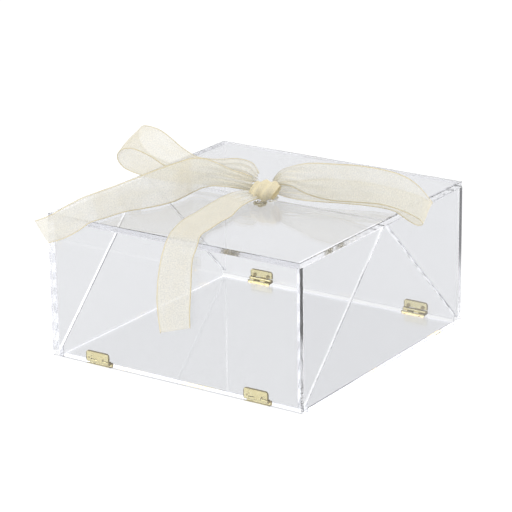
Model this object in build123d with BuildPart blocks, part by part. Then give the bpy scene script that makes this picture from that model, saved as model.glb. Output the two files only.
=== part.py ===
"""Wedding card box: clear acrylic tray with two hinged doors and a ribbon bow.

Millimetres, +Z up, origin at the middle of the base plate's underside.  The
front door is on -Y, the back door on +Y and the seam between them is at y = 0.
"""
from build123d import *
import math
import os

os.makedirs("parts", exist_ok=True)

# ---- driving dimensions ------------------------------------------------------
box_width = 200.0        # outside, across the doors (X)
box_depth = 207.6        # outside, front door face to back door face (Y)
box_height = 105.0       # table to the top of the lid halves (Z)
sheet = 3.8              # acrylic sheet the box is cut from
base_sheet = 4.0         # base plate thickness
glue_line = 0.05         # cement line between two glued sheets
seam_gap = 0.2           # gap between the two lid halves at y = 0
edge_break = 0.3         # flame-polished sheet edges
tip_radius = 1.2         # rounded lower edge of each door panel

# ---- doors and the fixed side panes --------------------------------------------
door_lift = 3.5          # table to the lower edge of a door panel
pane_lift = 2.0          # table to the lower edge of a side pane
pane_gap = 0.6           # gap along the slanting edges
pane_end_gap = 4.4       # side pane's blunt end to the door panel's inner face
gusset_foot = 2.6        # lower corner of a gusset above the door panel's lower edge
gusset_top = 2.4         # upper corner of a gusset from the seam

# ---- hinges ----------------------------------------------------------------------
hinge_width = 19.0
hinge_spacing = 128.0    # between the two hinges of one door
leaf_thick = 1.0
leaf_gap = 0.05
barrel_radius = 1.4
barrel_gap = 0.1         # base knuckles to the door panel
pin_diameter = 1.2
pin_clearance = 0.05     # radial, between the pin and the door knuckles
knuckle_gap = 0.1
knuckle_cuts = (0.0, 3.9, 8.7, 13.3, 19.0)
web_thick = 0.75
leaf_top = 12.4          # upper edge of the door leaf above the table
leaf_corner = 2.2
edge_gap = 5.0           # base plate edge to the door panel's inner face

# ---- screws ----------------------------------------------------------------------
screw_shank = 1.5
screw_fit = 0.02         # radial
head_diameter = 2.8
head_thick = 0.4
screw_reach = 3.6        # length under the head
slot_width = 0.45
slot_depth = 0.2
screw_pitch = 11.6
door_screw_z = 8.3
base_screw_z = 2.0

# ---- ribbon ------------------------------------------------------------------------
ribbon_thick = 0.8
ribbon_clear = 0.5       # ribbon to the acrylic
ribbon_hole = 6.0
ribbon_stem = 4.4
stopper_diameter = 9.0
stopper_thick = 2.6
ribbon_x = 6.0           # middle of the knot along the seam
hole_from_seam = 7.0

# ---- derived -------------------------------------------------------------------------
half_w = box_width / 2
half_d = box_depth / 2
pane_x = half_w - sheet                     # inner face of gussets and side panes
panel_y = half_d - sheet                    # inner face of a door panel
lid_z = box_height - sheet                  # underside of the lid halves
lid_y = seam_gap / 2                        # lid edge at the seam
base_y = panel_y - edge_gap                 # edge of the base plate
axis_y = panel_y - barrel_gap - barrel_radius
axis_z = base_sheet + 0.05 + barrel_radius
bore_radius = pin_diameter / 2 + pin_clearance
gusset_z = door_lift + gusset_foot
front = -1
back = 1


def lid_half(side, name):
    """Lid half with the ribbon hole beside the seam."""
    y0, y1 = sorted((side * lid_y, side * half_d))
    with BuildPart() as piece:
        with BuildSketch(Plane.XY.offset(lid_z)):
            with BuildLine():
                Polyline((-half_w, y0), (half_w, y0), (half_w, y1), (-half_w, y1), close=True)
            make_face()
        extrude(amount=sheet)
        chamfer(piece.edges(), edge_break)
        with BuildSketch(Plane.XY.offset(lid_z)):
            with Locations((ribbon_x, side * hole_from_seam)):
                Circle(ribbon_hole / 2)
        extrude(amount=sheet, mode=Mode.SUBTRACT)
    piece.part.label = name
    return piece


def door_panel(side, name):
    """Upright door panel, lower edge rounded, blind holes for the hinge screws."""
    depth = screw_reach - leaf_thick + 0.1
    with BuildPart() as piece:
        with BuildSketch(Plane.YZ.offset(-half_w)):
            with BuildLine():
                Polyline(
                    (side * panel_y, door_lift),
                    (side * half_d, door_lift),
                    (side * half_d, lid_z - glue_line),
                    (side * panel_y, lid_z - glue_line),
                    close=True,
                )
            make_face()
        extrude(amount=box_width)
        lower = piece.edges().filter_by(Axis.X).group_by(Axis.Z)[0]
        fillet(lower, tip_radius)
        upper = piece.edges().filter_by(Axis.X).group_by(Axis.Z)[-1]
        chamfer(upper, edge_break)
        face = Plane(origin=(0, side * panel_y, 0), x_dir=(1, 0, 0), z_dir=(0, -side, 0))
        with BuildSketch(face):
            for x in screw_places():
                with Locations(face.to_local_coords(Vector(x, side * panel_y, door_screw_z))):
                    Circle(screw_shank / 2 + screw_fit)
        extrude(amount=-depth, mode=Mode.SUBTRACT)
    piece.part.label = name
    return piece


def screw_places():
    """X of every screw along one door."""
    places = []
    for hinge in (-1, 1):
        for end in (-1, 1):
            places.append(hinge * hinge_spacing / 2 + end * screw_pitch / 2)
    return places


def gusset(side, hand, name):
    """Triangular cheek glued behind the door panel and under the lid half."""
    inner = panel_y - glue_line
    top = lid_z - glue_line
    x0 = min(hand * pane_x, hand * half_w)
    with BuildPart() as piece:
        with BuildSketch(Plane.YZ.offset(x0)):
            with BuildLine():
                Polyline(
                    (side * inner, gusset_z),
                    (side * inner, top),
                    (side * gusset_top, top),
                    close=True,
                )
            make_face()
        extrude(amount=sheet)
        chamfer(piece.edges(), edge_break)
    piece.part.label = name
    return piece


def side_pane(hand, name):
    """Fixed triangular pane cemented to the side edge of the base plate."""
    rise = (lid_z - gusset_z) / (panel_y - gusset_top)
    drop = pane_gap * math.sqrt(1 + rise * rise)
    end_y = panel_y - pane_end_gap
    end_z = gusset_z + (panel_y - end_y) * rise - drop
    top = lid_z - 0.25
    apex = panel_y - (top + drop - gusset_z) / rise
    x0 = min(hand * pane_x, hand * half_w)
    with BuildPart() as piece:
        with BuildSketch(Plane.YZ.offset(x0)):
            with BuildLine():
                Polyline(
                    (-end_y, pane_lift),
                    (end_y, pane_lift),
                    (end_y, end_z),
                    (apex, top),
                    (-apex, top),
                    (-end_y, end_z),
                    close=True,
                )
            make_face()
        extrude(amount=sheet)
        chamfer(piece.edges(), edge_break)
    piece.part.label = name
    return piece


def base():
    """Base plate with blind holes in its front and back edges."""
    depth = screw_reach - leaf_thick + 0.1
    edge_x = pane_x - glue_line
    with BuildPart() as piece:
        with BuildSketch():
            Rectangle(2 * edge_x, 2 * base_y)
        extrude(amount=base_sheet)
        chamfer(piece.edges(), edge_break)
        for side in (front, back):
            face = Plane(origin=(0, side * base_y, 0), x_dir=(1, 0, 0), z_dir=(0, side, 0))
            with BuildSketch(face):
                for x in screw_places():
                    with Locations(face.to_local_coords(Vector(x, side * base_y, base_screw_z))):
                        Circle(screw_shank / 2 + screw_fit)
            extrude(amount=-depth, mode=Mode.SUBTRACT)
    piece.part.label = "base_plate"
    return piece


def knuckle_span(x0, index):
    """X range of one knuckle, counted from the leaf's left end."""
    start = x0 + knuckle_cuts[index] + (knuckle_gap / 2 if index else 0)
    last = len(knuckle_cuts) - 2
    stop = x0 + knuckle_cuts[index + 1] - (knuckle_gap / 2 if index < last else 0)
    return start, stop


def door_leaf(side, x_mid, name):
    """Leaf on the door panel with the first and third knuckles."""
    x0 = x_mid - hinge_width / 2
    notch_z = axis_z + barrel_radius + 0.2
    flush_y = panel_y - leaf_gap
    face_y = side * flush_y
    with BuildPart() as piece:
        with BuildSketch(Plane.XZ.offset(-face_y)):
            with BuildLine():
                Polyline(
                    (x0, notch_z),
                    (x0 + hinge_width, notch_z),
                    (x0 + hinge_width, leaf_top),
                    (x0, leaf_top),
                    close=True,
                )
            make_face()
        extrude(amount=side * leaf_thick)
        corners = piece.edges().filter_by(Axis.Y).group_by(Axis.Z)[-1]
        fillet(corners, leaf_corner)
        for index in (0, 2):
            a, b = knuckle_span(x0, index)
            with BuildSketch(Plane.YZ.offset(a)):
                with Locations((side * axis_y, axis_z)):
                    Circle(barrel_radius)
                with BuildLine():
                    Polyline(
                        (side * (flush_y - leaf_thick), axis_z),
                        (side * (panel_y - barrel_gap), axis_z),
                        (side * flush_y, axis_z + 0.6),
                        (side * flush_y, notch_z + 0.2),
                        (side * (flush_y - leaf_thick), notch_z + 0.2),
                        close=True,
                    )
                make_face()
            extrude(amount=b - a)
            with BuildSketch(Plane.YZ.offset(a)):
                with Locations((side * axis_y, axis_z)):
                    Circle(bore_radius)
            extrude(amount=b - a, mode=Mode.SUBTRACT)
        with BuildSketch(Plane.XZ.offset(-face_y)):
            for end in (-1, 1):
                with Locations((x_mid + end * screw_pitch / 2, door_screw_z)):
                    Circle(screw_shank / 2 + screw_fit)
        extrude(amount=side * leaf_thick, mode=Mode.SUBTRACT)
    piece.part.label = name
    return piece


def base_leaf(side, x_mid, name):
    """Leaf on the base plate's edge with the second and fourth knuckles."""
    x0 = x_mid - hinge_width / 2
    web_z = axis_z - barrel_radius
    leaf_y = base_y + leaf_thick
    with BuildPart() as piece:
        with BuildSketch(Plane.XZ.offset(-side * base_y)):
            with BuildLine():
                Polyline(
                    (x0, 0.3),
                    (x0 + hinge_width, 0.3),
                    (x0 + hinge_width, web_z + web_thick),
                    (x0, web_z + web_thick),
                    close=True,
                )
            make_face()
        extrude(amount=-side * leaf_thick)
        for index in (1, 3):
            a, b = knuckle_span(x0, index)
            with BuildSketch(Plane.YZ.offset(a)):
                with BuildLine():
                    Polyline(
                        (side * (leaf_y - 0.3), web_z),
                        (side * axis_y, web_z),
                        (side * axis_y, web_z + web_thick),
                        (side * (leaf_y - 0.3), web_z + web_thick),
                        close=True,
                    )
                make_face()
                with Locations((side * axis_y, axis_z)):
                    Circle(barrel_radius)
            extrude(amount=b - a)
            with BuildSketch(Plane.YZ.offset(a)):
                with Locations((side * axis_y, axis_z)):
                    Circle(pin_diameter / 2)
            extrude(amount=b - a, mode=Mode.SUBTRACT)
        with BuildSketch(Plane.XZ.offset(-side * base_y)):
            for end in (-1, 1):
                with Locations((x_mid + end * screw_pitch / 2, base_screw_z)):
                    Circle(screw_shank / 2 + screw_fit)
        extrude(amount=-side * leaf_thick, mode=Mode.SUBTRACT)
    piece.part.label = name
    return piece


def hinge_pin(side, x_mid, name):
    """Pin pressed in the base knuckles, its ends just inside the barrel."""
    x0 = x_mid - hinge_width / 2 + 0.2
    with BuildPart() as piece:
        with BuildSketch(Plane.YZ.offset(x0)):
            with Locations((side * axis_y, axis_z)):
                Circle(pin_diameter / 2)
        extrude(amount=hinge_width - 0.4)
    piece.part.label = name
    return piece


def screws(places, head_y, z, toward, name):
    """Slotted screws, heads at head_y, shanks running along toward * Y."""
    with BuildPart() as group:
        for x in places:
            with BuildSketch(Plane.XZ.offset(-head_y)):
                with Locations((x, z)):
                    Circle(screw_shank / 2)
            extrude(amount=-toward * screw_reach)
            with BuildSketch(Plane.XZ.offset(-head_y)):
                with Locations((x, z)):
                    Circle(head_diameter / 2)
            extrude(amount=toward * head_thick)
            with BuildSketch(Plane.XZ.offset(-head_y + toward * head_thick)):
                with Locations((x, z)):
                    Rectangle(slot_width, head_diameter + 1)
            extrude(amount=-toward * slot_depth, mode=Mode.SUBTRACT)
    group.part.label = name
    return group


def ribbon_stopper(side, name):
    """Ribbon end drawn down through the lid hole and knotted underneath."""
    under = lid_z - ribbon_clear - stopper_thick
    with BuildPart() as piece:
        with BuildSketch(Plane.XY.offset(under)):
            with Locations((ribbon_x, side * hole_from_seam)):
                Circle(stopper_diameter / 2)
        extrude(amount=stopper_thick)
        fillet(piece.edges(), 0.8)
        with BuildSketch(Plane.XY.offset(under + stopper_thick / 2)):
            with Locations((ribbon_x, side * hole_from_seam)):
                Circle(ribbon_stem / 2)
        extrude(amount=box_height - under - stopper_thick / 2 - 0.1)
    piece.part.label = name
    return piece


def strip(low, high, name):
    """Ribbon stretched between its two edges, each given as the places that it passes."""
    low_edge = Edge.make_spline([Vector(*p) for p in low])
    high_edge = Edge.make_spline([Vector(*p) for p in high])
    cloth = Face.make_surface_from_curves(low_edge, high_edge)
    with BuildPart() as piece:
        thicken(cloth, amount=ribbon_thick / 2, both=True)
    piece.part.label = name
    return piece


# ---- acrylic -----------------------------------------------------------------------------
base_plate = base()
left_side_pane = side_pane(-1, "left_side_pane")
right_side_pane = side_pane(1, "right_side_pane")

front_lid = lid_half(front, "front_lid_half")
front_panel = door_panel(front, "front_door_panel")
front_left_gusset = gusset(front, -1, "front_left_gusset")
front_right_gusset = gusset(front, 1, "front_right_gusset")

back_lid = lid_half(back, "back_lid_half")
back_panel = door_panel(back, "back_door_panel")
back_left_gusset = gusset(back, -1, "back_left_gusset")
back_right_gusset = gusset(back, 1, "back_right_gusset")

pieces = [
    base_plate, left_side_pane, right_side_pane,
    front_lid, front_panel, front_left_gusset, front_right_gusset,
    back_lid, back_panel, back_left_gusset, back_right_gusset,
]

# ---- hinges and screws ----------------------------------------------------------------------
for side, side_name in ((front, "front"), (back, "back")):
    for hand, hand_name in ((-1, "left"), (1, "right")):
        x_mid = hand * hinge_spacing / 2
        stem = f"{side_name}_{hand_name}_hinge"
        pieces.append(door_leaf(side, x_mid, f"{stem}_door_leaf"))
        pieces.append(base_leaf(side, x_mid, f"{stem}_base_leaf"))
        pieces.append(hinge_pin(side, x_mid, f"{stem}_pin"))
    door_head = side * (panel_y - leaf_gap - leaf_thick)
    base_head = side * (base_y + leaf_thick)
    pieces.append(screws(screw_places(), door_head, door_screw_z, side, f"{side_name}_door_screws"))
    pieces.append(screws(screw_places(), base_head, base_screw_z, -side, f"{side_name}_base_screws"))

# ---- ribbon --------------------------------------------------------------------------------
pieces.append(ribbon_stopper(front, "front_ribbon_stopper"))
pieces.append(ribbon_stopper(back, "back_ribbon_stopper"))

knot_rx = 10.5
knot_ry = 7.6
knot_rz = 6.6
knot_x = ribbon_x + 3.6
knot_y = -3.9
with BuildPart() as bow_knot:
    with BuildSketch(Plane.XY.offset(box_height + ribbon_clear + 0.1)):
        with Locations((knot_x, knot_y - 2.5)):
            Ellipse(knot_rx - 4, knot_ry - 4)
    with BuildSketch(Plane.XY.offset(box_height + ribbon_clear + knot_rz)):
        with Locations((knot_x, knot_y)):
            Ellipse(knot_rx, knot_ry)
    with BuildSketch(Plane.XY.offset(box_height + ribbon_clear + 2 * knot_rz)):
        with Locations((knot_x, knot_y)):
            Ellipse(knot_rx - 3, knot_ry - 3)
    loft()
bow_knot.part.label = "bow_knot"
pieces.append(bow_knot)

# Heights below are above the lid, and places along Y on the hanging lengths are
# measured out from the front face.
top = box_height
face = -half_d
left_loop_low = [
    (-12, 1.0, top + 9.5), (-26, 2.0, top + 9.2), (-40, 1.0, top + 9.4), (-50, -3.5, top + 9.8),
    (-59, -8.5, top + 11.6), (-69, -13, top + 14.8), (-77.5, -14, top + 18.9), (-87.3, -14, top + 22),
    (-96.1, -14, top + 23.3), (-102.4, -14, top + 22), (-106.7, -14, top + 19.8), (-108.7, -14, top + 16.4),
    (-108, -14, top + 12.6), (-104, -14, top + 8.8), (-98.8, -14, top + 7), (-91.5, -13.6, top + 5.5),
    (-76, -11.5, top + 3.8), (-60, -7.5, top + 3), (-44, -3, top + 2.9), (-28, -2, top + 3.4), (-12, -2.5, top + 4.2),
]
left_loop_high = [
    (-9, 3.2, top + 21.5), (-19, 4.6, top + 23.2), (-32, 5.4, top + 20.8), (-43, 6, top + 19),
    (-54.9, 6, top + 18.8), (-66, 6, top + 23.1), (-75.2, 6, top + 28.3), (-85.4, 6, top + 33),
    (-94, 6, top + 34.9), (-100.2, 6, top + 34.8), (-103.6, 6, top + 32.2), (-104.8, 6, top + 27.6),
    (-103.4, 6, top + 22.4), (-99.6, 6, top + 17.6), (-94, 6, top + 14.2), (-87, 6, top + 12),
    (-72, 5.6, top + 9.4), (-56, 5, top + 7.6), (-40, 4.2, top + 6.9), (-26, 3.4, top + 6.7), (-12, 2, top + 7),
]
pieces.append(strip(left_loop_low, left_loop_high, "bow_left_loop"))

right_loop_low = [
    (25.4, 4, top + 9.8), (36.3, 4, top + 6.8), (52.7, 4, top + 5.2), (71.6, 4, top + 6.7), (94.2, 4, top + 8.7),
    (107.4, 4, top + 7.5), (117.5, 4, top + 5.4), (123.2, 5.4, top + 2.6), (123.8, 8, top - 0.8),
    (119.6, 9.5, top - 3), (112, 12.2, top - 2.6), (104, 15, top - 0.7), (96, 17.2, top + 1.2), (80, 17, top + 1.6),
    (62, 11.5, top + 2.2), (46, 6.6, top + 2.2), (35, 4.4, top + 1.8), (26, 4.2, top + 1.8),
]
right_loop_high = [
    (23, 12, top + 23.4), (34, 12, top + 26.2), (54, 12, top + 28.7), (74, 12, top + 30.5), (96, 12, top + 30.2),
    (107.5, 12, top + 28.4), (116, 12, top + 24.8), (122.5, 12.4, top + 19.6), (125.8, 14.4, top + 14.4),
    (125, 18, top + 11.4), (119, 23, top + 10.6), (110, 27, top + 11), (97, 29, top + 12.2), (80, 28.6, top + 13.4),
    (62, 26, top + 14.2), (46, 21.6, top + 14.2), (34, 17.2, top + 13.4), (25, 13.6, top + 12.4),
]
pieces.append(strip(right_loop_low, right_loop_high, "bow_right_loop"))

left_tail_low = [
    (-12, -7, top + 6.3), (-22.2, -8, top + 5.6), (-31.5, -9, top + 5), (-37.5, -12, top + 3.5), (-39.8, -16, top + 2.3),
    (-41.3, -21, top + 1.3), (-40.7, -29.1, top + 1.3), (-40.4, -40.7, top + 1.1), (-44.4, -55.4, top + 1),
    (-49.9, -66.6, top + 1), (-55.1, -77.1, top + 1), (-57.6, -92.1, top + 1.1), (-59.6, face + 1.2, top + 1.2),
    (-63, face - 1.8, top - 0.2), (-73.2, face - 2.2, top - 7.8), (-85.4, face - 2.3, top - 14.8), (-97.7, face - 2.4, top - 19.9),
]
left_tail_high = [
    (-12.6, -1, top + 15.6), (-21.8, -1, top + 16.6), (-31.1, -1.5, top + 19.2), (-38.6, -4, top + 21.8), (-42.4, -8, top + 23.2),
    (-45.5, -12.5, top + 23.9), (-46, -21, top + 24.6), (-46.9, -35, top + 24.9), (-54.6, -47.5, top + 21.7),
    (-61.4, -58, top + 18.4), (-66.8, -69, top + 16.2), (-69.9, -84.8, top + 15.2), (-70.6, -95.4, top + 15.2),
    (-73.6, -99, top + 14), (-83.2, face - 1.4, top + 8), (-96.2, face - 1.6, top - 0.2), (-109.8, face - 1.8, top - 6.6),
]
pieces.append(strip(left_tail_low, left_tail_high, "bow_left_tail"))

front_tail_low = [
    (-9.5, -9.2, top + 5.5), (-15.5, -14.6, top + 3.6), (-15.7, -30, top + 2.4), (-14.7, -43.2, top + 2),
    (-12.3, -66.2, top + 1.2), (-9.6, -81, top + 1), (-3.4, -96.4, top + 1), (-2.7, face + 1.4, top + 1.1),
    (-2.4, face - 0.5, top + 1), (-2.4, face - 1.6, top - 0.2), (-2.6, face - 1.8, top - 5.8), (-4.8, face - 1.9, top - 12.9),
    (-7.5, face - 2.1, top - 22.9), (-9, face - 2.2, top - 33.5), (-9.8, face - 2.2, top - 44), (-9.4, face - 2.2, top - 54.3),
    (-7.9, face - 2, top - 66.4),
]
front_tail_high = [
    (7, -20, top + 4.5), (7.5, -28.3, top + 3.2), (9.5, -40.5, top + 2.4), (13.3, -52.7, top + 1.9),
    (14.5, -71.2, top + 1.2), (16.2, -84.8, top + 1), (19.2, -95.9, top + 1), (20.8, face + 1.4, top + 1.1),
    (21.4, face - 0.5, top + 1), (21.6, face - 1.6, top), (21.6, face - 1.8, top - 4), (20.7, face - 1.9, top - 8.5),
    (19.2, face - 2.1, top - 17), (18.2, face - 2.2, top - 27.2), (17.5, face - 2.2, top - 37.2), (16.9, face - 2.2, top - 47.6),
    (16.4, face - 2, top - 58.4),
]
pieces.append(strip(front_tail_low, front_tail_high, "bow_front_tail"))

for piece in pieces:
    export_step(piece.part, f"parts/{piece.part.label}.step")
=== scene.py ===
# %% [markdown]
# # A clear acrylic card box tied with an organza bow
# The real object is a low box of clear sheet that opens in two halves, each
# half a lid board, a front and two small side boards glued into one flap.
# Four small gold hinges carry the flaps. A bow of sheer ribbon sits on the
# seam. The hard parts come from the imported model. This lesson gives them
# their finishes, and makes every piece of ribbon as real cloth.

# %% load the hard parts
import bpy
import math
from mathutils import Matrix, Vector, noise


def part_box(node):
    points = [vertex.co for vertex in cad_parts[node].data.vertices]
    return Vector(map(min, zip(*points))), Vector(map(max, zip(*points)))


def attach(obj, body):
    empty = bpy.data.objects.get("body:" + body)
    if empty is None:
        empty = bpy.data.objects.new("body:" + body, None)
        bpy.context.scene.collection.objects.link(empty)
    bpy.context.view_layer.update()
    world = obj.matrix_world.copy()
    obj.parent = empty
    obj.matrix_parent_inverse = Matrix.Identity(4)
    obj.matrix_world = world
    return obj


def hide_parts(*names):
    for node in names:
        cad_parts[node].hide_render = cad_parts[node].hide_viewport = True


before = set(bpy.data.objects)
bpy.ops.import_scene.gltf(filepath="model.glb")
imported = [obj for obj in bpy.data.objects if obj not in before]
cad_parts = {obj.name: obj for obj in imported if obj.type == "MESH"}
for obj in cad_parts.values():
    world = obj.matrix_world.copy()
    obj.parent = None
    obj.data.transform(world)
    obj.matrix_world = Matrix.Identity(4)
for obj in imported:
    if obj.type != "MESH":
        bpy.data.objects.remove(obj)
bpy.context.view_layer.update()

# %% [markdown]
# ## Camera
# The box is seen from its front right, a little from above, with a long lens,
# so that its upright edges stay almost parallel. A long lens from two metres
# away does this. The film is not shifted and nothing is out of focus.

# %% camera
def stand(name, data):
    """An object that holds the data, in the scene."""
    made = bpy.data.objects.new(name, data)
    bpy.context.scene.collection.objects.link(made)
    return made


lens = bpy.data.cameras.new("long_lens")
lens.lens = 168.622
lens.sensor_width = 36.0
lens.clip_start, lens.clip_end = 0.05, 40.0
camera = stand("camera", lens)
camera.location = (0.8693, -1.2907, 0.5848)
camera.rotation_euler = [math.radians(a) for a in (71.45307, 0.74863, 33.79414)]
bpy.context.scene.camera = camera
print("camera stands", round(camera.location.length, 3), "m from the box")

# %% [markdown]
# ## Writing shader maths as sums
# A finish is easier to read as an expression than as boxes and wires. Signal
# wraps one socket. Adding, taking away and multiplying signals adds the Math
# nodes, and a plain number may stand on either side. Finish wraps one
# material, and its node method makes any other node: its kind, its settings,
# and then what goes into its sockets.

# %% signals and finishes
class Signal:
    def __init__(self, finish, socket):
        self.finish, self.socket = finish, socket

    def maths(self, operation, a, b=None):
        return self.finish.node("ShaderNodeMath", {0: a, 1: b}, operation=operation)

    def __add__(self, other): return self.maths("ADD", self, other)
    def __radd__(self, other): return self.maths("ADD", other, self)
    def __sub__(self, other): return self.maths("SUBTRACT", self, other)
    def __rsub__(self, other): return self.maths("SUBTRACT", other, self)
    def __mul__(self, other): return self.maths("MULTIPLY", self, other)
    def __rmul__(self, other): return self.maths("MULTIPLY", other, self)
    def __gt__(self, other): return self.maths("GREATER_THAN", self, other)
    def __lt__(self, other): return self.maths("LESS_THAN", self, other)
    def size(self): return self.maths("ABSOLUTE", self)
    def wave(self): return self.maths("SINE", self)
    def power(self, other): return self.maths("POWER", self, other)
    def least(self, other): return self.maths("MINIMUM", self, other)
    def most(self, other): return self.maths("MAXIMUM", self, other)


class Finish:
    def __init__(self, name):
        self.material = bpy.data.materials.new(name)
        self.material.use_nodes = True
        self.tree = self.material.node_tree
        self.tree.nodes.clear()

    def node(self, kind, inputs, out=0, **settings):
        made = self.tree.nodes.new(kind)
        for name, value in settings.items():
            setattr(made, name, value)
        for name, value in inputs.items():
            if isinstance(value, Signal):
                self.tree.links.new(value.socket, made.inputs[name])
            elif value is not None:
                made.inputs[name].default_value = value
        return Signal(self, made.outputs[out])

    def part(self, vector, axis):
        return self.node("ShaderNodeSeparateXYZ", {0: vector}, out=axis)

    def place(self, out="Object"):
        return self.node("ShaderNodeTexCoord", {}, out=out)

    def grain(self, size, detail=3.0, stretch=(1, 1, 1), at=None):
        at = at or self.place()
        at = self.node("ShaderNodeMapping", {"Vector": at, "Scale": stretch})
        return self.node("ShaderNodeTexNoise",
                         {"Vector": at, "Scale": 1.0 / size, "Detail": detail})

    def blend(self, mask, first, second):
        made = self.tree.nodes.new("ShaderNodeMix")
        made.data_type = "RGBA"
        for place, value in ((0, mask), (6, first), (7, second)):
            socket = made.inputs[place]
            if isinstance(value, Signal):
                self.tree.links.new(value.socket, socket)
            else:
                socket.default_value = value if socket.type == "VALUE" else (*value, 1.0)
        return Signal(self, made.outputs[2])

    def bumps(self, height, distance, strength=1.0):
        return self.node("ShaderNodeBump",
                         {"Height": height, "Distance": distance, "Strength": strength})

    def surface(self, shader):
        out = self.tree.nodes.new("ShaderNodeOutputMaterial")
        self.tree.links.new(shader.socket, out.inputs["Surface"])
        return self.material


print("shader helpers are ready")

# %% [markdown]
# ## Floor and light
# A white paper sweep in even light gives the clean look of a shop picture.
# The floor glows a little by itself, so no hard shadow falls behind the clear
# box, and the sky is a white tent that gets greyer overhead, which gives the
# gold and the sheet edges something darker to reflect.

# %% floor
floor_size = 6.0
floor_drop = -0.0006
corners = [(a * floor_size / 2, b * floor_size / 2, floor_drop)
           for a, b in ((-1, -1), (1, -1), (1, 1), (-1, 1))]
floor_mesh = bpy.data.meshes.new("paper_sweep")
floor_mesh.from_pydata(corners, [], [(0, 1, 2, 3)])
floor = stand("paper_sweep", floor_mesh)
paper = Finish("white_paper")
fibre = paper.grain(0.004, 4.0)
floor_mesh.materials.append(paper.surface(paper.node("ShaderNodeBsdfPrincipled", {
    "Base Color": (0.12, 0.12, 0.12, 1.0), "Roughness": 0.9, "Specular IOR Level": 0.0,
    "Emission Color": paper.blend(fibre, (0.995, 0.995, 0.995), (1.0, 1.0, 1.0)),
    "Emission Strength": 0.97})))
print("floor", floor_size, "m square")

# %% light
sky = bpy.data.worlds.new("white_tent")
bpy.context.scene.world = sky
sky.use_nodes = True
wires = sky.node_tree
wires.nodes.clear()
where = wires.nodes.new("ShaderNodeTexCoord")
parts = wires.nodes.new("ShaderNodeSeparateXYZ")
ramp = wires.nodes.new("ShaderNodeValToRGB")
low_stop, high_stop = ramp.color_ramp.elements
middle_stop = ramp.color_ramp.elements.new(0.8)
for stop, place, grey in ((low_stop, 0.62, 1.0), (high_stop, 1.0, 0.34), (middle_stop, 0.8, 0.72)):
    stop.position, stop.color = place, (grey, grey, grey, 1.0)
tent = wires.nodes.new("ShaderNodeBackground")
tent.inputs["Strength"].default_value = 1.0
sky_out = wires.nodes.new("ShaderNodeOutputWorld")
wires.links.new(where.outputs["Generated"], parts.inputs[0])
wires.links.new(parts.outputs["Z"], ramp.inputs["Fac"])
wires.links.new(ramp.outputs["Color"], tent.inputs["Color"])
wires.links.new(tent.outputs["Background"], sky_out.inputs["Surface"])


def soft_lamp(name, place, size, power):
    """A square lamp that points at the middle of the box."""
    lamp = bpy.data.lights.new(name, "AREA")
    lamp.shape, lamp.size, lamp.energy = "SQUARE", size, power
    made = stand(name, lamp)
    made.location = place
    made.rotation_euler = (box_middle - made.location).to_track_quat("-Z", "Y").to_euler()


box_middle = Vector((0, 0, 0.05))
soft_lamp("window_left", (-1.3, -0.9, 1.1), 0.9, 5.0)
soft_lamp("window_right", (1.5, 0.3, 0.8), 0.5, 3.0)
bpy.context.scene.view_settings.view_transform = "Standard"
bpy.context.scene.view_settings.look = "None"
paths = bpy.context.scene.cycles
paths.max_bounces = 36
paths.transmission_bounces = 32
paths.transparent_max_bounces = 48
paths.glossy_bounces = 32
paths.caustics_reflective = False
print("two soft lamps and a white tent")

# %% [markdown]
# ## Clear acrylic
# Cast acrylic sheet takes a faint grey from each face that light crosses, and
# its sawn and polished edges gather light and look brighter, with fine saw
# lines along them. A glass shader with a slight tint gives the faces. The
# edges are found from the way a face points on each board, so one recipe
# serves all boards. Lamps shine straight through, as they do through the
# thin real sheet, because a shader can't focus light that well. The edges
# also give off a little light of their own. In real sheet that light is
# gathered from all around, which would take more light paths than are
# followed here, so in a dark scene these edges would look too bright. The
# short dark marks along them are waves.

# %% acrylic recipe
full_turn = 2 * math.pi
face_tint = (0.822, 0.827, 0.842)
edge_tint = (0.82, 0.825, 0.855)
mark_tint = (0.22, 0.22, 0.24)
ribbon_hole = (0.006, 0.007)     # in both lid halves, from the middle of the box
hole_rim = 0.0000203             # square of how far its wall counts as hole, not edge


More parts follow.
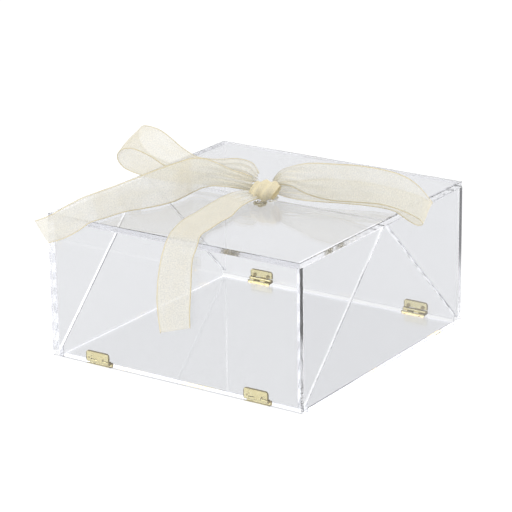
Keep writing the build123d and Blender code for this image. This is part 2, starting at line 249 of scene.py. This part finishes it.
def acrylic(name, thin_axis, glow=0.35, marks=None, face=face_tint, lift=0.12):
    """thin_axis is the axis across the sheet, lift is how bright its edges are."""
    sheet = Finish(name)
    facing, at = sheet.place("Normal"), sheet.place()
    across, slope = sheet.part(facing, thin_axis).size(), sheet.part(facing, 2).size()
    x, y, z = (sheet.part(at, axis) for axis in range(3))
    hole = (x - ribbon_hole[0]).power(2.0) + (y.size() - ribbon_hole[1]).power(2.0)
    edge = (across < 0.5) * (hole > hole_rim)
    saw = sheet.grain(0.0011, 2.0, tuple(0.04 if axis != thin_axis else 1.0 for axis in range(3)))
    cloud = sheet.grain(0.05, 2.0)
    tint = sheet.blend(edge, face, edge_tint)
    tint = sheet.blend(cloud * 0.03, tint, (0.84, 0.85, 0.86))
    lit = sheet.blend(edge * (0.75 + 0.25 * saw), (0, 0, 0), (lift * 0.92, lift * 0.93, lift))
    shade = None
    # Dark dashes on some edges: waves on position that darken the tint and the edge glow.
    if marks == "upright":
        shade = edge * (((z + y * 2.4) * (full_turn / 0.016)).wave() > 0.72)
    elif marks == "sloping":
        dashes = ((y * (full_turn / 0.011) + cloud * 5.0).wave() > 0.35) * (y > 0.002)
        front_dashes = ((z * (full_turn / 0.013) + cloud * 6.0).wave() > 0.1) * (slope < 0.3) * (y < 0.0)
        shade = edge * (dashes + front_dashes * 0.45)
        # Painted highlight: sloping edges on the front half glow almost white.
        lit = sheet.blend(edge * (y < 0.0) * (slope > 0.3), lit, (0.85, 0.85, 0.85))
    if shade:
        tint = sheet.blend(shade * 0.85, tint, mark_tint)
        lit = sheet.blend(shade * 0.8, lit, (0.03, 0.03, 0.03))
    glass = sheet.node("ShaderNodeBsdfPrincipled", {
        "Base Color": tint, "Roughness": edge * (0.05 + saw * 0.16) + 0.004, "IOR": 1.49,
        "Transmission Weight": 1.0, "Emission Color": lit, "Emission Strength": glow,
        "Normal": sheet.bumps(edge * saw, 0.00012, 0.6)})
    clear = sheet.node("ShaderNodeBsdfTransparent", {"Color": (0.93, 0.935, 0.94, 1.0)})
    from_lamp = sheet.node("ShaderNodeLightPath", {}, out="Is Shadow Ray")
    return sheet.surface(sheet.node("ShaderNodeMixShader", {0: from_lamp, 1: glass, 2: clear}))


# All boards are one sheet. Their face tints and edge glows differ board by board as painted light: the
# front and back faces are tinted lighter, and the side, back and base edges glow brighter.
acrylic_side = acrylic("clear_acrylic_side", 0, marks="sloping", lift=0.3)
acrylic_front = acrylic("clear_acrylic_front", 1, marks="upright", face=(0.892, 0.897, 0.906), lift=0.04)
acrylic_back = acrylic("clear_acrylic_back", 1, face=(0.838, 0.843, 0.858), lift=0.45)
acrylic_lid = acrylic("clear_acrylic_lid", 2, lift=0.05)
acrylic_base = acrylic("clear_acrylic_base", 2, glow=1.0, lift=0.6)


def dress(node, material):
    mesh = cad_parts[node].data
    mesh.materials.clear()
    mesh.materials.append(material)


boards = {"base_plate": acrylic_base, "front_door_panel": acrylic_front,
          "back_door_panel": acrylic_back}
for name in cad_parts:
    if name.endswith(("_side_pane", "_gusset")):
        boards[name] = acrylic_side
    elif name.endswith("_lid_half"):
        boards[name] = acrylic_lid
for name, material in boards.items():
    dress(name, material)
print(len(boards), "boards of acrylic")

# %% [markdown]
# ## Gold hinges, screws and pins
# The hinges are stamped brass with a thin bright plating. Plating shows fine
# brush lines, small pits and duller worn spots, and painted shade darkens its edges.
# Noise stretched along one axis gives the lines, and a wide noise the tone.

# %% gold recipe
def plated(name, light, dark, brush=(1, 1, 14), rough=0.16, rim=None, border=None):
    """rim is the tone painted as shade on the faces that don't look to the front or
    back. border is (middle, half width, top) of a leaf, whose outline gets the
    same painted shade."""
    metal = Finish(name)
    lines = metal.grain(0.0009, 3.0, brush)
    tone = metal.grain(0.006, 3.0)
    pits = metal.grain(0.0005, 1.0)
    colour = metal.blend((tone * lines * 2.2 - 0.15).least(1.0).most(0.0), light, dark)
    # Painted shade: faces that don't look to the front or back, and a leaf's outline, take the dark rim
    # tone.
    if rim:
        flat = metal.part(metal.place("Normal"), 1).size()
        painted_rim_shade = ((0.82 - flat) * 3.0).least(0.92).most(0.0)
        if border:
            middle, half_wide, top = border
            across, up = (metal.part(metal.place(), axis) for axis in (0, 2))
            inside = (half_wide - (across.size() - middle).size()).least(top - up)
            painted_rim_shade = painted_rim_shade.most(((0.00065 - inside) * 3600.0).least(0.8).most(0.0))
        colour = metal.blend(painted_rim_shade, colour, rim)
    return metal.surface(metal.node("ShaderNodeBsdfPrincipled", {
        "Base Color": colour, "Metallic": 1.0, "Roughness": tone * 0.14 + lines * 0.06 + rough,
        "Normal": metal.bumps(lines * 0.6 + pits * 0.4, 0.00003, 0.5)}))


# Each rim tone below is painted shade for the faces that don't look to the front or back.
golds = {
    "_leaf": plated("hinge_gold", (1.0, 0.93, 0.57), (0.84, 0.71, 0.35),
                    rim=(0.15, 0.11, 0.04), border=(0.064, 0.0095, 0.0124)),
    "_screws": plated("screw_brass", (0.66, 0.56, 0.30), (0.30, 0.22, 0.09),
                      (14, 1, 1), 0.2, rim=(0.10, 0.08, 0.03)),
    "_pin": plated("pin_gold", (0.74, 0.62, 0.31), (0.36, 0.26, 0.10),
                   (14, 1, 1), 0.18, rim=(0.2, 0.15, 0.06))}
for ending, material in golds.items():
    gilded = [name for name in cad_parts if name.endswith(ending)]
    for name in gilded:
        dress(name, material)
    print(material.name, "on", len(gilded), "nodes")

# %% [markdown]
# ## Sheer ribbon cloth
# Organza is an open weave of fine cream yarns, so what is behind it shows
# through, and it looks denser where it is seen edge on or in a fold. Its two
# edges hold a few gold metal threads. The pattern follows each ribbon's own
# UV map, which is in metres: u runs across, from one edge to the other, and v
# runs along. The weave sets the alpha, a slow noise gives the uneven sheen. A
# trace of light of its own stands in for light that yarns pass to each other.

# %% organza recipe
ribbon_width = 0.025
weave = 0.00045         # twice the space between two yarns
selvedge_width = 0.0007


def organza(name, body_alpha, cream, dense):
    """cream is the tone of one layer seen square on, dense that of folds and slubs."""
    cloth = Finish(name)
    uv = cloth.place("UV")
    u, v = cloth.part(uv, 0), cloth.part(uv, 1)
    weft, warp = ((way * (full_turn / weave)).wave().size() for way in (u, v))
    yarn = weft.most(warp)
    selvedge = (ribbon_width / 2) - (u - ribbon_width / 2).size() < selvedge_width
    slub = cloth.grain(0.0035, 4.0, (1, 0.15, 1), uv)
    fleck = cloth.grain(0.0011, 2.0, (1, 1, 1), uv)
    sparkle = (fleck - 0.5) * 1.6
    sheen = cloth.grain(0.012, 3.0)
    graze = cloth.node("ShaderNodeLayerWeight", {"Blend": 0.5}, out=1)
    folded = (slub * 0.45 + graze * 0.7 + sparkle * 0.45).least(1.0).most(0.0)
    tone = cloth.blend(folded, cream, dense)
    tone = cloth.blend(selvedge * 0.75, tone, (0.78, 0.68, 0.42))
    cover = body_alpha * (0.6 + 0.5 * yarn) + sheen * 0.12 + sparkle * 0.3
    cover = (cover + selvedge * 0.5 + graze * 0.36).least(0.97).most(0.04)
    return cloth.surface(cloth.node("ShaderNodeBsdfPrincipled", {
        "Base Color": tone, "Roughness": 0.42 + sheen * 0.3,
        "Sheen Weight": 0.35, "Sheen Roughness": 0.4, "Specular IOR Level": 0.45,
        "Alpha": cover, "Emission Color": tone, "Emission Strength": 0.06,
        "Normal": cloth.bumps(yarn + slub * 0.6 + fleck * 0.5, 0.00008, 0.5)}))


organza_cloth = organza("organza_cloth", 0.27, (0.845, 0.845, 0.805), (0.83, 0.765, 0.59))
organza_knot = organza("organza_knot", 0.6, (0.90, 0.84, 0.67), (0.84, 0.73, 0.45))
print("organza is mixed")

# %% [markdown]
# ## How a length of ribbon is laid
# A ribbon is given by its two edges, each a list of places in millimetres that
# the edge passes, taken in pairs across the ribbon. A smooth curve runs
# through each list. The cloth between them is a fine grid that bows a little,
# ripples along its length, and is pleated where the knot squeezes it. The
# grid is then made a thin closed cloth. A cloth simulation would let the
# loops fall flat, but here stiff ribbon keeps the loops open, so the shape is
# given by listed places.

# %% smooth curve through places
def through(places, t):
    """The point at t, from 0 to 1, on a smooth line through the places."""
    places = [Vector(p) for p in places]
    places = [2 * places[0] - places[1]] + places + [2 * places[-1] - places[-2]]
    spans = len(places) - 3
    at = min(int(t * spans), spans - 1)
    p0, p1, p2, p3 = places[at:at + 4]
    local = t * spans - at
    t0 = 0.0
    t1 = t0 + max((p1 - p0).length, 1e-6) ** 0.5
    t2 = t1 + max((p2 - p1).length, 1e-6) ** 0.5
    t3 = t2 + max((p3 - p2).length, 1e-6) ** 0.5
    s = t1 + (t2 - t1) * local
    a1 = p0 * ((t1 - s) / (t1 - t0)) + p1 * ((s - t0) / (t1 - t0))
    a2 = p1 * ((t2 - s) / (t2 - t1)) + p2 * ((s - t1) / (t2 - t1))
    a3 = p2 * ((t3 - s) / (t3 - t2)) + p3 * ((s - t2) / (t3 - t2))
    b1 = a1 * ((t2 - s) / (t2 - t0)) + a2 * ((s - t0) / (t2 - t0))
    b2 = a2 * ((t3 - s) / (t3 - t1)) + a3 * ((s - t1) / (t3 - t1))
    return b1 * ((t2 - s) / (t2 - t1)) + b2 * ((s - t1) / (t2 - t1))


print("halfway through 0, 1 and 3 is", through([(0, 0, 0), (1, 0, 0), (3, 0, 0)], 0.5).x)

# %% cloth pieces
def outward(mesh):
    """Turns every face the right way out by the sign of the volume."""
    volume = 0.0
    for face in mesh.polygons:
        first, *rest = [mesh.vertices[k].co for k in face.vertices]
        for b, c in zip(rest, rest[1:]):
            volume += first.dot(b.cross(c))
    if volume < 0:
        mesh.flip_normals()


def cloth_piece(name, vertices, faces, uvs, material, body, node):
    """A closed piece of cloth that rides a body in place of a hard node."""
    mesh = bpy.data.meshes.new(name)
    mesh.from_pydata(vertices, [], faces)
    layer = mesh.uv_layers.new(name="cloth")
    for loop in mesh.loops:
        layer.data[loop.index].uv = uvs[loop.vertex_index]
    mesh.polygons.foreach_set("use_smooth", [True] * len(mesh.polygons))
    outward(mesh)
    mesh.materials.append(material)
    piece = stand(name, mesh)
    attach(piece, body)
    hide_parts(node)
    return piece


print("helpers for closed pieces of cloth are ready")

# %% a grid made thick
ribbon_thick = 0.22      # mm, a little more than real organza so that it stays closed
columns = 28             # faces across a ribbon


def thickened(points, along):
    """Two skins and a rim round a grid of points. along is each row's place in mm."""
    vertices, faces, uvs = [], [], []
    rows, n = len(points) - 1, columns + 1
    for side in (1, -1):
        for i, row in enumerate(points):
            for j, p in enumerate(row):
                du = row[min(j + 1, columns)] - row[max(j - 1, 0)]
                dv = points[min(i + 1, rows)][j] - points[max(i - 1, 0)][j]
                off = dv.cross(du).normalized() * (side * ribbon_thick / 2)
                vertices.append((p + off) * 0.001)
                uvs.append((j / columns * ribbon_width, along[i] * 0.001))
    shift = (rows + 1) * n
    for i in range(rows):
        for j in range(columns):
            a, b, c, d = i * n + j, i * n + j + 1, (i + 1) * n + j + 1, (i + 1) * n + j
            faces.append((a, b, c, d))
            faces.append((a + shift, d + shift, c + shift, b + shift))
    rim = [i * n for i in range(rows + 1)] + [rows * n + j for j in range(1, n)]
    rim += [i * n + columns for i in range(rows - 1, -1, -1)] + [j for j in range(columns - 1, 0, -1)]
    for k, a in enumerate(rim):
        b = rim[(k + 1) % len(rim)]
        faces.append((a, b, b + shift, a + shift))
    return vertices, faces, uvs


print("a ribbon is", columns, "faces wide and", ribbon_thick, "mm thick")

# %% ribbon cloth
knot_reach = 30.0        # mm of ribbon that a knot gathers
ribbon_edges = {}


def ribbon(name, low, high, body, node, pleat_ends=(1, 0), ripple=0.5, bow=0.8,
           rows=220, material=organza_cloth, seed=0.0, pleats=3.5, deepest=1.5):
    """A strip of ribbon between two edges given in mm, with as many places each.
    pleat_ends says how firmly each end is gathered, and deepest is in mm."""
    grid, along = [], [0.0]
    for i in range(rows + 1):
        a, b = through(low, i / rows), through(high, i / rows)
        grid.append((a, b))
        if i:
            along.append(along[-1] + (((a + b) - (grid[i - 1][0] + grid[i - 1][1])) / 2).length)
    length = along[-1]
    points = []
    for i, (a, b) in enumerate(grid):
        before, after = grid[max(i - 1, 0)], grid[min(i + 1, rows)]
        run = ((after[0] + after[1]) - (before[0] + before[1])).normalized()
        out = run.cross((b - a)).normalized()
        squeeze = (pleat_ends[0] * math.exp(-along[i] / knot_reach)
                   + pleat_ends[1] * math.exp(-(length - along[i]) / knot_reach))
        wide = max((b - a).length, 4.0)
        spare = max((ribbon_width * 1000 / wide) ** 2 - 1, 0.0)
        pleat = min(math.sqrt(2 * spare) * wide / (2 * math.pi * pleats), deepest) * min(squeeze, 1.0)
        row = []
        for j in range(columns + 1):
            c = j / columns
            lift = bow * math.sin(math.pi * c) * (1 - 0.5 * squeeze)
            lift += ripple * math.sin(along[i] / 5.3 + 4.0 * c + seed) * (0.35 + 0.65 * c)
            lift += ripple * 0.9 * noise.noise(Vector((along[i] / 11.0, c * 1.6, seed)))
            fold = pleats * c + 0.12 * math.sin(along[i] / 7.0 + seed)
            lift += pleat * math.sin(2 * math.pi * fold)
            row.append(a.lerp(b, c) + out * lift)
        points.append(row)
    ribbon_edges[name] = ([row[0] for row in points], [row[-1] for row in points])
    vertices, faces, uvs = thickened(points, along)
    piece = cloth_piece(name, vertices, faces, uvs, material, body, node)
    middle = grid[rows // 2]
    print(name, "length", round(length, 1), "mm, middle width", round((middle[0] - middle[1]).length, 1))


print("ribbons are gathered within about", knot_reach, "mm of a knot")

# %% [markdown]
# ## The tail that hangs down the front
# One end of the ribbon comes forward from the knot, lies on the lid, bends
# over the edge and hangs down the front flap, cut off at a slant.

# %% front tail
front_low = [
    (-1.0, -8.5, 111.0), (-9.0, -11.0, 110.0), (-14.4, -17.0, 108.8), (-16.0, -28.0, 107.6),
    (-14.7, -43.2, 107.0), (-13.4, -57.0, 106.6), (-12.6, -70.0, 106.2), (-7.0, -86.8, 106.8),
    (-1.8, -99.7, 107.3), (0.1, -105.0, 105.8), (-1.3, -106.4, 101.7), (-2.7, -106.7, 97.5),
    (-4.8, -106.4, 92.0), (-7.5, -106.0, 82.1), (-9.0, -106.0, 71.5), (-9.8, -106.0, 61.0),
    (-9.4, -106.0, 50.7), (-7.9, -105.8, 38.6)]
front_high = [
    (10.0, -16.0, 110.0), (7.5, -21.0, 109.2), (7.5, -28.3, 108.2), (9.5, -40.5, 107.4),
    (12.0, -51.0, 106.9), (13.2, -65.0, 106.5), (14.4, -79.5, 106.2), (17.4, -90.1, 106.8),
    (21.3, -100.0, 107.1), (23.6, -104.6, 106.2), (23.7, -106.4, 103.7), (22.8, -106.8, 100.6),
    (20.7, -106.5, 95.7), (19.2, -106.0, 88.0), (18.2, -106.0, 77.8), (17.5, -106.0, 67.8),
    (16.9, -106.0, 57.4), (16.4, -105.8, 46.6)]
ribbon("bow_front_tail_cloth", front_low, front_high, "front_door", "bow_front_tail",
       ripple=0.25, bow=0.3, seed=0.4)

# %% [markdown]
# ## The tail that falls over the left corner
# The other end leaves the knot on its edge, leans back, crosses the lid and
# falls over the front edge near the left corner. Cloth on its edge is stiff,
# so it stands about as high as it is wide.

# %% left tail
left_low = [
    (-1.3, -6.0, 110.2), (-12.0, -7.0, 111.3), (-22.2, -8.0, 110.6), (-31.5, -9.0, 110.0),
    (-37.5, -12.0, 108.5), (-39.8, -16.0, 107.3), (-41.3, -21.0, 106.3), (-40.7, -29.1, 106.3),
    (-40.4, -40.7, 106.1), (-44.4, -55.4, 106.0), (-49.9, -66.6, 106.0), (-55.1, -77.1, 106.0),
    (-57.6, -92.1, 106.1), (-59.6, -102.6, 106.2), (-63.0, -105.6, 104.8), (-73.2, -106.0, 97.2),
    (-85.4, -106.1, 90.2), (-97.7, -106.2, 85.1)]
left_high = [
    (-3.7, -1.5, 119.2), (-12.6, -1.0, 120.6), (-21.8, -1.0, 121.6), (-31.1, -1.5, 124.2),
    (-38.6, -4.0, 126.8), (-42.4, -8.0, 128.2), (-45.5, -12.5, 128.9), (-46.0, -21.0, 129.6),
    (-46.9, -35.0, 129.9), (-54.6, -47.5, 126.7), (-61.4, -58.0, 123.4), (-66.8, -69.0, 121.2),
    (-69.9, -84.8, 120.2), (-70.6, -95.4, 120.2), (-73.6, -99.0, 119.0), (-83.2, -105.2, 113.0),
    (-96.2, -105.4, 104.8), (-109.8, -105.6, 98.4)]
ribbon("bow_left_tail_cloth", left_low, left_high, "front_door", "bow_left_tail",
       ripple=0.25, bow=-0.5, seed=1.7)

# %% [markdown]
# ## The left loop
# The ribbon goes out from the knot, rises, folds back at its tip and returns
# under itself. Near the knot it is squeezed narrow, and at the tip it opens
# to its full width.

# %% left loop
left_near = [
    (-2.0, 0.5, 115.0), (-12.0, 1.0, 114.5), (-26.0, 2.0, 114.2), (-40.0, 1.0, 114.4),
    (-50.0, -3.5, 114.8), (-59.0, -8.5, 116.6), (-69.0, -13.0, 119.8), (-77.5, -14.0, 123.9),
    (-87.3, -14.0, 127.0), (-96.1, -14.0, 128.3), (-102.4, -14.0, 127.0), (-106.7, -14.0, 124.8),
    (-108.7, -14.0, 121.4), (-108.0, -14.0, 117.6), (-104.0, -14.0, 113.8), (-98.8, -14.0, 112.0),
    (-91.5, -13.6, 110.5), (-76.0, -11.5, 108.8), (-60.0, -7.5, 108.0), (-44.0, -3.0, 107.9),
    (-28.0, -2.0, 108.4), (-12.0, -2.5, 109.2), (-2.0, -3.0, 110.0)]
left_far = [
    (-1.5, 2.5, 121.5), (-7.0, 3.2, 127.0), (-19.0, 4.6, 128.2), (-32.0, 5.4, 125.8),
    (-43.0, 6.0, 124.0), (-54.9, 6.0, 123.8), (-66.0, 6.0, 128.1), (-75.2, 6.0, 133.3),
    (-85.4, 6.0, 138.0), (-94.0, 6.0, 139.9), (-100.2, 6.0, 139.8), (-103.6, 6.0, 137.2),
    (-104.8, 6.0, 132.6), (-103.4, 6.0, 127.4), (-99.6, 6.0, 122.6), (-94.0, 6.0, 119.2),
    (-87.0, 6.0, 117.0), (-72.0, 5.6, 114.4), (-56.0, 5.0, 112.6), (-40.0, 4.2, 111.9),
    (-26.0, 3.4, 111.7), (-12.0, 2.0, 112.0), (-2.0, 1.5, 112.3)]
ribbon("bow_left_loop_cloth", left_near, left_far, "front_door", "bow_left_loop",
       pleat_ends=(1, 1), ripple=0.35, bow=-0.7, rows=300, seed=2.9)

# %% [markdown]
# ## The right loop
# This loop stands on its edge: the strip nearer the viewer is upright, and the
# strip behind it comes back from the tip lying lower, on the other lid board.
# It rides on the back flap, so it leaves with that flap when it is opened.

# %% right loop
right_low = [
    (8.0, 5.0, 112.5), (14.3, 4.4, 115.0), (25.4, 4.0, 114.8), (36.3, 4.0, 111.8),
    (52.7, 4.0, 110.2), (71.6, 4.0, 111.7), (94.2, 4.0, 113.7), (107.4, 4.0, 112.5),
    (117.5, 4.0, 110.4), (123.2, 5.4, 107.6), (123.8, 8.0, 104.2), (119.6, 9.5, 102.0),
    (112.0, 12.2, 102.4), (104.0, 15.0, 104.3), (96.0, 17.2, 106.2), (80.0, 17.0, 106.6),
    (62.0, 11.5, 107.2), (46.0, 6.6, 107.2), (35.0, 4.0, 106.8), (26.0, 3.6, 106.8),
    (16.0, 4.0, 107.6), (9.0, 4.6, 109.0)]
right_high = [
    (8.5, 8.0, 116.8), (12.5, 11.0, 123.0), (21.7, 12.0, 127.8), (34.0, 12.0, 131.2),
    (54.0, 12.0, 133.7), (74.0, 12.0, 135.5), (96.0, 12.0, 135.2), (107.5, 12.0, 133.4),
    (116.0, 12.0, 129.8), (122.5, 12.4, 124.6), (125.8, 14.4, 119.4), (125.0, 18.0, 116.4),
    (119.0, 23.0, 115.6), (110.0, 27.0, 116.0), (97.0, 29.0, 117.2), (80.0, 28.6, 118.4),
    (62.0, 26.0, 119.2), (46.0, 21.6, 119.2), (34.0, 17.2, 118.4), (25.0, 13.6, 117.4),
    (16.0, 10.0, 116.0), (9.5, 7.6, 113.6)]
ribbon("bow_right_loop_cloth", right_low, right_high, "back_door", "bow_right_loop",
       pleat_ends=(1, 1), ripple=0.35, bow=0.8, rows=300, seed=4.1)

# %% [markdown]
# ## The knots
# A short length of the ribbon is wrapped round the middle of the bow and
# pulled tight, so it shows as a small roll with ridges that run over it. Two
# more knots under the lid stop the ribbon's ends from slipping through their
# holes. Each is a roll whose girth is cut by folds that turn as they go round.

# %% knot shape
def knot(name, node, body, seed):
    """A roll the size of the hard node, cut by folds that wind round it."""
    folds, depth, slant = 3, 0.24, 0.8
    rings, spokes = 44, 72
    girth = 0.06         # m of ribbon round the roll
    low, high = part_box(node)
    middle, reach = (low + high) / 2, (high - low) / 2
    vertices = [middle - Vector((reach.x, 0, 0))]
    uvs = [(0.0, 0.0)]
    for i in range(1, rings):
        a = math.pi * i / rings
        for k in range(spokes):
            b = 2 * math.pi * k / spokes
            fold = math.sin(folds * a * 2 + slant * math.sin(b + seed) + 0.6 * math.sin(2 * b))
            tuck = 1 - depth * (0.5 + 0.5 * fold) ** 2
            crease = 1 - 0.12 * max(0.0, math.cos(2 * b + 2.2 * a + seed)) ** 6
            wide = math.sin(a) ** 0.62 * tuck * crease
            vertices.append(middle + Vector((-math.cos(a) * reach.x, math.cos(b) * wide * reach.y,
                                             math.sin(b) * wide * reach.z)))
            uvs.append((i / rings * ribbon_width, k / spokes * girth))
    vertices.append(middle + Vector((reach.x, 0, 0)))
    uvs.append((ribbon_width, 0.0))
    faces = []
    for k in range(spokes):
        faces.append((0, 1 + (k + 1) % spokes, 1 + k))
    for i in range(rings - 2):
        for k in range(spokes):
            a, b = 1 + i * spokes + k, 1 + i * spokes + (k + 1) % spokes
            faces.append((a, b, b + spokes, a + spokes))
    last = len(vertices) - 1
    for k in range(spokes):
        faces.append((last, last - spokes + k, last - spokes + (k + 1) % spokes))
    cloth_piece(name, vertices, faces, uvs, organza_knot, body, node)
    print(name, "is", [round(x * 2000, 1) for x in reach], "mm")


print("knot shape is ready")

# %% wrap and stop knots
wrap_x, wrap_y, wrap_z = 9.2, -6.0, 112.9
wrap_low, wrap_high = [], []
for step in range(13):
    angle = math.radians(-150 + step * 30 * 1.08)
    lean = 3.0 * math.sin(angle + 0.5)
    for line, half_wide, forward, up in ((wrap_low, -9.4, 6.6, 4.6), (wrap_high, 9.4, 7.0, 4.8)):
        line.append((wrap_x + half_wide + lean, wrap_y - forward * math.cos(angle),
                     wrap_z + up * math.sin(angle)))
ribbon("bow_knot_wrap", wrap_low, wrap_high, "front_door", "bow_knot",
       pleat_ends=(3, 3), ripple=0.3, bow=3.4, rows=150, material=organza_knot, seed=0.9,
       pleats=2.5, deepest=0.75)
knot("front_stop_knot", "front_ribbon_stopper", "front_door", seed=1.9)
knot("back_stop_knot", "back_ribbon_stopper", "back_door", seed=3.0)

# %% [markdown]
# ## Gold thread along the ribbon's edges
# Each edge holds a metal thread that is caught down by tiny stitches. They
# repeat along a path, which is what Geometry Nodes are for: the edge becomes a
# curve, the curve is divided at the stitch length, and a small long bead is
# set on each point along the curve's direction. Realize Instances makes the
# beads real, so that the result can be kept as a plain mesh.

# %% gold thread finish
thread_gold = plated("thread_gold", (0.80, 0.68, 0.40), (0.40, 0.32, 0.15), (1, 1, 1), 0.3)
print(thread_gold.name, "is mixed")


# %% stitch tree
stitch_sizes = {"Pitch": 0.0023, "Stitch length": 0.0007, "Thread radius": 0.00014}


def stitch_tree():
    tree = bpy.data.node_groups.new("edge_stitches", "GeometryNodeTree")
    face = tree.interface
    face.new_socket("Geometry", in_out="INPUT", socket_type="NodeSocketGeometry")
    for title, value in stitch_sizes.items():
        made = face.new_socket(title, in_out="INPUT", socket_type="NodeSocketFloat")
        made.default_value = value
    face.new_socket("Gold", in_out="INPUT", socket_type="NodeSocketMaterial")
    face.new_socket("Geometry", in_out="OUTPUT", socket_type="NodeSocketGeometry")

    def add(kind, inputs, out=0, **settings):
        node = tree.nodes.new(kind)
        for name, value in settings.items():
            setattr(node, name, value)
        for name, value in inputs.items():
            if hasattr(value, "links"):
                tree.links.new(value, node.inputs[name])
            else:
                node.inputs[name].default_value = value
        return node.outputs[out]

    given = tree.nodes.new("NodeGroupInput").outputs
    line = add("GeometryNodeMeshToCurve", {0: given["Geometry"]})
    spaced = add("GeometryNodeResampleCurve", {"Curve": line, "Length": given["Pitch"]}, mode="LENGTH")
    tangent = add("GeometryNodeInputTangent", {})
    angle = add("FunctionNodeAlignRotationToVector", {"Vector": tangent}, axis="Z")
    bead = add("GeometryNodeMeshIcoSphere", {"Radius": 1.0, "Subdivisions": 1})
    jitter = add("FunctionNodeRandomValue", {2: 0.8, 3: 1.25, "Seed": 7}, out=1, data_type="FLOAT")
    reach = add("ShaderNodeMath", {0: given["Stitch length"], 1: jitter}, operation="MULTIPLY")
    radius = given["Thread radius"]
    scale = add("ShaderNodeCombineXYZ", {0: radius, 1: radius, 2: reach})
    beads = add("GeometryNodeInstanceOnPoints",
                {"Points": spaced, "Instance": bead, "Rotation": angle, "Scale": scale})
    solid = add("GeometryNodeRealizeInstances", {0: beads})
    gold = add("GeometryNodeSetMaterial", {"Geometry": solid, "Material": given["Gold"]})
    tree.links.new(gold, tree.nodes.new("NodeGroupOutput").inputs[0])
    return tree


edge_stitches = stitch_tree()
print("stitch tree has", len(edge_stitches.nodes), "nodes")


# %% stitches on every edge
def stitched(name, ribbons, body):
    vertices, edges = [], []
    for ribbon_name in ribbons:
        for line in ribbon_edges[ribbon_name]:
            start = len(vertices)
            vertices += [p * 0.001 for p in line]
            edges += [(start + i, start + i + 1) for i in range(len(line) - 1)]
    path = bpy.data.meshes.new(name + "_path")
    path.from_pydata(vertices, edges, [])
    carrier = stand(name + "_path", path)
    maker = carrier.modifiers.new("stitches", "NODES")
    maker.node_group = edge_stitches
    keys = {item.name: item.identifier for item in edge_stitches.interface.items_tree
            if item.in_out == "INPUT"}
    for title, value in stitch_sizes.items():
        maker[keys[title]] = value
    maker[keys["Gold"]] = thread_gold
    bpy.context.view_layer.update()
    seen = carrier.evaluated_get(bpy.context.evaluated_depsgraph_get())
    mesh = bpy.data.meshes.new_from_object(seen)
    mesh.name = name
    bpy.data.objects.remove(carrier)
    piece = stand(name, mesh)
    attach(piece, body)
    print(name, len(mesh.polygons), "faces")


stitched("front_ribbon_gold_thread",
         ["bow_front_tail_cloth", "bow_left_tail_cloth", "bow_left_loop_cloth", "bow_knot_wrap"],
         "front_door")
stitched("back_ribbon_gold_thread", ["bow_right_loop_cloth"], "back_door")
